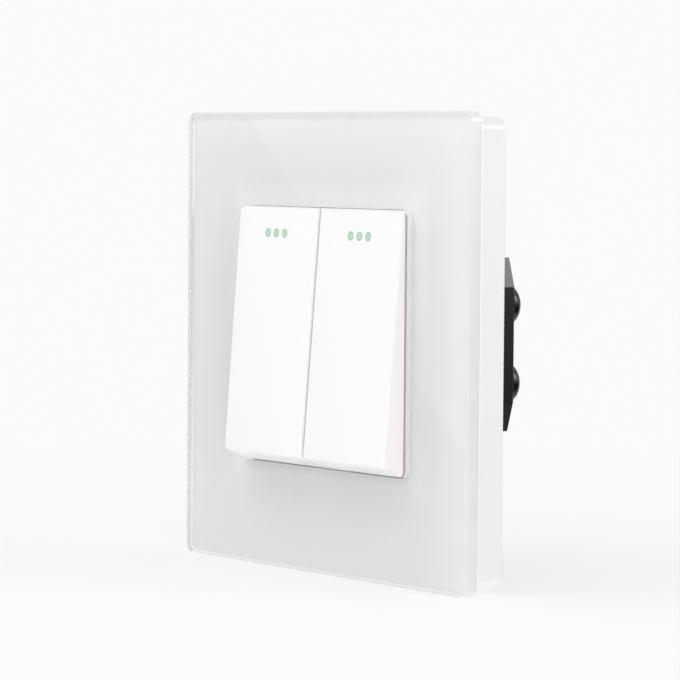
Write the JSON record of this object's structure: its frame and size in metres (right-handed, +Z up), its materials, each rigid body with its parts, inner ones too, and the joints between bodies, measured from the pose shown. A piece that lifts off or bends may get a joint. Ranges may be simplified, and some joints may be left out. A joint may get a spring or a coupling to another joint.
{
  "type": "double push button switch",
  "caption": "Square wall switch: glass panel, white frame, side-by-side push keys hinged at the top, steel plate and a black mechanism with screw terminals.",
  "frame": {"origin": "middle of the switch on the wall plane, which is the rear face of the steel plate and of the cover frame", "axes": "+Y into the wall, so the front faces -Y; +Z up; +X to the right as seen from the front"},
  "size_m": [0.086, 0.0371, 0.086],
  "materials": {
    "clear_glass": "polished",
    "backing_sheet": "matte",
    "white_moulding": "gloss",
    "glow_insert": "satin",
    "zinc_steel": "zinc plated",
    "black_moulding": "satin",
    "plunger_moulding": "satin",
    "spring_steel": "bright",
    "copper_alloy": "rolled",
    "brass": "machined",
    "silver_contact": "bright",
    "black_screw": "gloss"
  },
  "bodies": {
    "base": {"glass_panel": "clear_glass", "backing_film": "backing_sheet", "cover_frame": "white_moulding", "key_carrier": "white_moulding", "support_plate": "zinc_steel", "mechanism_cover": "black_moulding", "rear_housing": "black_moulding", "return_spring_left": "spring_steel", "contact_strip_left_upper": "copper_alloy", "terminal_block_left_upper": "brass", "contact_strip_left_lower": "copper_alloy", "terminal_block_left_lower": "brass", "return_spring_right": "spring_steel", "contact_strip_right_upper": "copper_alloy", "terminal_block_right_upper": "brass", "contact_strip_right_lower": "copper_alloy", "terminal_block_right_lower": "brass", "fixed_contacts": "silver_contact", "terminal_screws": "black_screw"},
    "key_left": {"key_left": "white_moulding", "dot_inserts_left": "glow_insert"},
    "plunger_left": {"plunger_left": "plunger_moulding", "contact_bridge_left": "copper_alloy", "moving_contacts_left": "silver_contact", "contact_spring_left": "spring_steel"},
    "key_right": {"key_right": "white_moulding", "dot_inserts_right": "glow_insert"},
    "plunger_right": {"plunger_right": "plunger_moulding", "contact_bridge_right": "copper_alloy", "moving_contacts_right": "silver_contact", "contact_spring_right": "spring_steel"}
  },
  "joints": [
    {"name": "key_left_hinge", "type": "hinge", "parent": "base", "child": "key_left", "pos_m": [0, -0.0042, 0.02185], "axis": [1, 0, 0], "range_deg": [0, 4], "stiffness_Nm_per_rad": 0.19, "springref_deg": -7.85},
    {"name": "plunger_left_slide", "type": "slide", "parent": "base", "child": "plunger_left", "axis": [0, 1, 0], "range_m": [0, 0.00153], "deforming": ["return_spring_left"]},
    {"name": "key_right_hinge", "type": "hinge", "parent": "base", "child": "key_right", "pos_m": [0, -0.0042, 0.02185], "axis": [1, 0, 0], "range_deg": [0, 4], "stiffness_Nm_per_rad": 0.19, "springref_deg": -7.85},
    {"name": "plunger_right_slide", "type": "slide", "parent": "base", "child": "plunger_right", "axis": [0, 1, 0], "range_m": [0, 0.00153], "deforming": ["return_spring_right"]}
  ],
  "couplings": [
    {"joint": "plunger_left_slide", "follows": "key_left_hinge", "m_per_rad": 0.02185},
    {"joint": "plunger_right_slide", "follows": "key_right_hinge", "m_per_rad": 0.02185}
  ]
}
